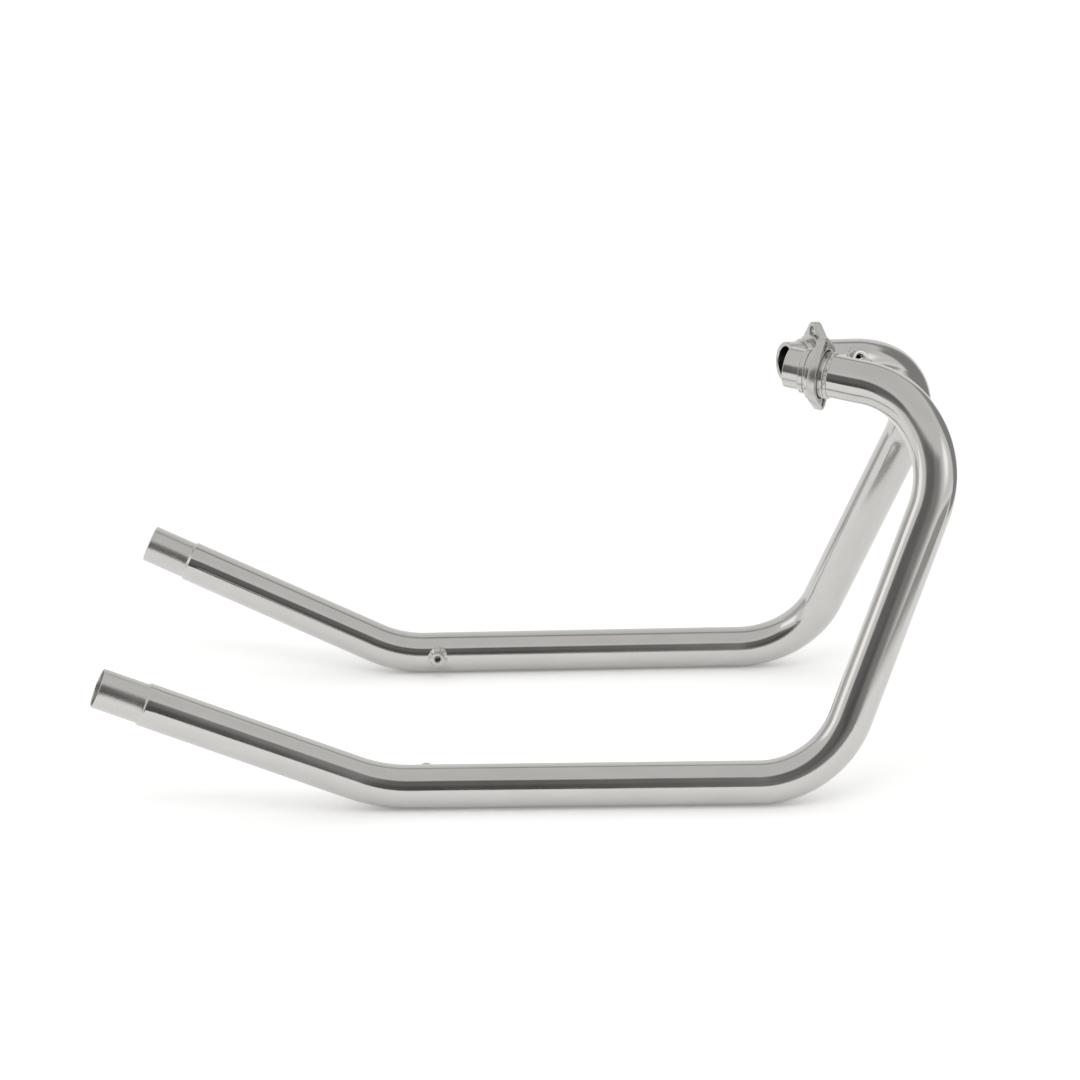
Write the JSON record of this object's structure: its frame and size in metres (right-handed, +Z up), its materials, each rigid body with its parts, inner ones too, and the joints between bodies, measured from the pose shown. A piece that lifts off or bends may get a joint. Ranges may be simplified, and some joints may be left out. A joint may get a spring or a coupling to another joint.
{
  "type": "motorcycle exhaust header",
  "caption": "Twin exhaust header in polished stainless tube: mirrored bent down pipes with turned port collars, turning stud flanges, threaded bosses and reduced tail spigots.",
  "frame": {"origin": "middle of the part's box on the floor it stands on", "axes": "+X to the front of the motorcycle, where the risers are; +Y to its left side; +Z up. The two lower runs stand on the floor, z = 0."},
  "size_m": [0.7438, 0.4392, 0.3828],
  "materials": {
    "tube_steel": "polished stainless steel, close to a mirror",
    "turned_steel": "fine turned stainless steel",
    "flange_steel": "satin stainless steel",
    "weld_steel": "rippled weld metal"
  },
  "bodies": {
    "header_pipes": {"right_header_pipe": "tube_steel", "left_header_pipe": "tube_steel", "right_port_collar": "turned_steel", "left_port_collar": "turned_steel", "right_collar_weld": "weld_steel", "left_collar_weld": "weld_steel", "right_sensor_boss": "turned_steel", "left_sensor_boss": "turned_steel", "right_sensor_boss_weld": "weld_steel", "left_sensor_boss_weld": "weld_steel", "right_hanger_boss": "turned_steel", "left_hanger_boss": "turned_steel", "right_hanger_boss_weld": "weld_steel", "left_hanger_boss_weld": "weld_steel"},
    "right_flange": {"right_port_flange": "flange_steel"},
    "left_flange": {"left_port_flange": "flange_steel"}
  },
  "joints": [
    {"name": "right_flange_turn", "type": "hinge", "parent": "header_pipes", "child": "right_flange", "pos_m": [0.25954, -0.04547, 0.34823], "axis": [-0.9114, 0.3956, 0.1137], "continuous": true},
    {"name": "left_flange_turn", "type": "hinge", "parent": "header_pipes", "child": "left_flange", "pos_m": [0.25971, 0.03202, 0.33962], "axis": [-0.9113, -0.4018, 0.0898], "continuous": true}
  ]
}
